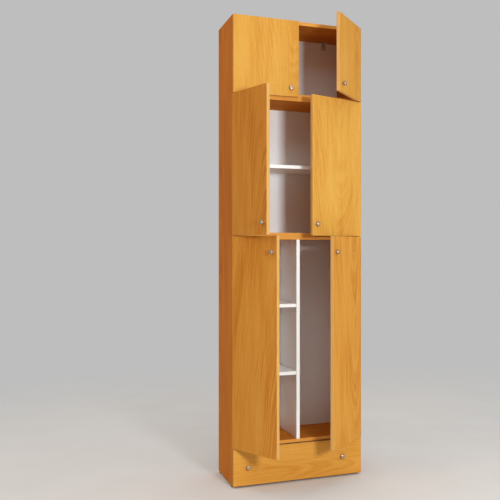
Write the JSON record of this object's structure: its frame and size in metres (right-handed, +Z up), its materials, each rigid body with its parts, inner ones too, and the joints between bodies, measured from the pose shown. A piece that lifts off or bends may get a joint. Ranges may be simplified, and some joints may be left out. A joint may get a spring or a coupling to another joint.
{
  "type": "broom cupboard",
  "caption": "Tall broom cupboard of stacked wood-grain boxes with hinged doors, shelves, a broom space and a full-width bottom drawer.",
  "frame": {"origin": "on the floor, midway between the sides, in the plane of the boxes' front edges", "axes": "+X to the right as seen from the front, +Y towards the wall behind, +Z up; the doors open towards -Y"},
  "size_m": [0.7049, 0.681, 2.429],
  "materials": {
    "beech_foil": "satin",
    "white_foil": "satin",
    "white_back": "satin",
    "drawer_board": "satin",
    "dowel_wood": "matte",
    "satin_nickel": "satin",
    "nickel_steel": "satin",
    "zinc_steel": "satin",
    "glide_plastic": "matte",
    "rail_plastic": "matte"
  },
  "bodies": {
    "cupboard": {"base_side_left": "beech_foil", "base_side_right": "beech_foil", "base_bottom_panel": "beech_foil", "base_floor_panel": "beech_foil", "base_top_panel": "beech_foil", "middle_side_left": "beech_foil", "middle_side_right": "beech_foil", "middle_bottom_panel": "beech_foil", "middle_top_panel": "beech_foil", "upper_side_left": "beech_foil", "upper_side_right": "beech_foil", "upper_bottom_panel": "beech_foil", "upper_top_panel": "beech_foil", "base_back_panel": "white_back", "middle_back_panel": "white_back", "upper_back_panel": "white_back", "base_divider": "white_foil", "base_shelf_lower": "white_foil", "base_shelf_upper": "white_foil", "middle_shelf": "white_foil", "base_hinge_arms": "nickel_steel", "middle_hinge_arms": "nickel_steel", "upper_hinge_arms": "nickel_steel", "hinge_plates": "nickel_steel", "wood_screws": "zinc_steel", "cam_bolts": "zinc_steel", "cam_locks": "zinc_steel", "connector_sleeves": "zinc_steel", "connector_screws": "zinc_steel", "wall_brackets": "zinc_steel", "shelf_pegs": "zinc_steel", "panel_dowels": "dowel_wood", "floor_glides": "glide_plastic", "drawer_rails": "rail_plastic"},
    "base_left_door": {"base_left_door": "beech_foil", "base_left_hinge_cups": "nickel_steel", "base_left_knob": "satin_nickel"},
    "base_right_door": {"base_right_door": "beech_foil", "base_right_hinge_cups": "nickel_steel", "base_right_knob": "satin_nickel"},
    "middle_left_door": {"middle_left_door": "beech_foil", "middle_left_hinge_cups": "nickel_steel", "middle_left_knob": "satin_nickel"},
    "middle_right_door": {"middle_right_door": "beech_foil", "middle_right_hinge_cups": "nickel_steel", "middle_right_knob": "satin_nickel"},
    "upper_left_door": {"upper_left_door": "beech_foil", "upper_left_hinge_cups": "nickel_steel", "upper_left_knob": "satin_nickel"},
    "upper_right_door": {"upper_right_door": "beech_foil", "upper_right_hinge_cups": "nickel_steel", "upper_right_knob": "satin_nickel"},
    "drawer": {"drawer_front": "beech_foil", "drawer_side_left": "drawer_board", "drawer_side_right": "drawer_board", "drawer_back": "drawer_board", "drawer_bottom": "white_back", "drawer_knobs": "satin_nickel", "drawer_screws": "zinc_steel"}
  },
  "joints": [
    {"name": "base_left_hinge", "type": "hinge", "parent": "cupboard", "child": "base_left_door", "pos_m": [-0.341, -0.0115, 0], "axis": [0, 0, -1], "range_deg": [-64.8, 45.2]},
    {"name": "base_right_hinge", "type": "hinge", "parent": "cupboard", "child": "base_right_door", "pos_m": [0.341, -0.0115, 0], "axis": [0, 0, 1], "range_deg": [-45, 65]},
    {"name": "middle_left_hinge", "type": "hinge", "parent": "cupboard", "child": "middle_left_door", "pos_m": [-0.341, -0.0115, 0], "axis": [0, 0, -1], "range_deg": [-74.7, 35.3]},
    {"name": "middle_right_hinge", "type": "hinge", "parent": "cupboard", "child": "middle_right_door", "pos_m": [0.341, -0.0115, 0], "axis": [0, 0, 1], "range_deg": [-22.7, 87.3]},
    {"name": "upper_left_hinge", "type": "hinge", "parent": "cupboard", "child": "upper_left_door", "pos_m": [-0.341, -0.0115, 0], "axis": [0, 0, -1], "range_deg": [0, 110]},
    {"name": "upper_right_hinge", "type": "hinge", "parent": "cupboard", "child": "upper_right_door", "pos_m": [0.341, -0.0115, 0], "axis": [0, 0, 1], "range_deg": [-50.7, 59.3]},
    {"name": "drawer_slide", "type": "slide", "parent": "cupboard", "child": "drawer", "axis": [0, -1, 0], "range_m": [0, 0.23]}
  ]
}
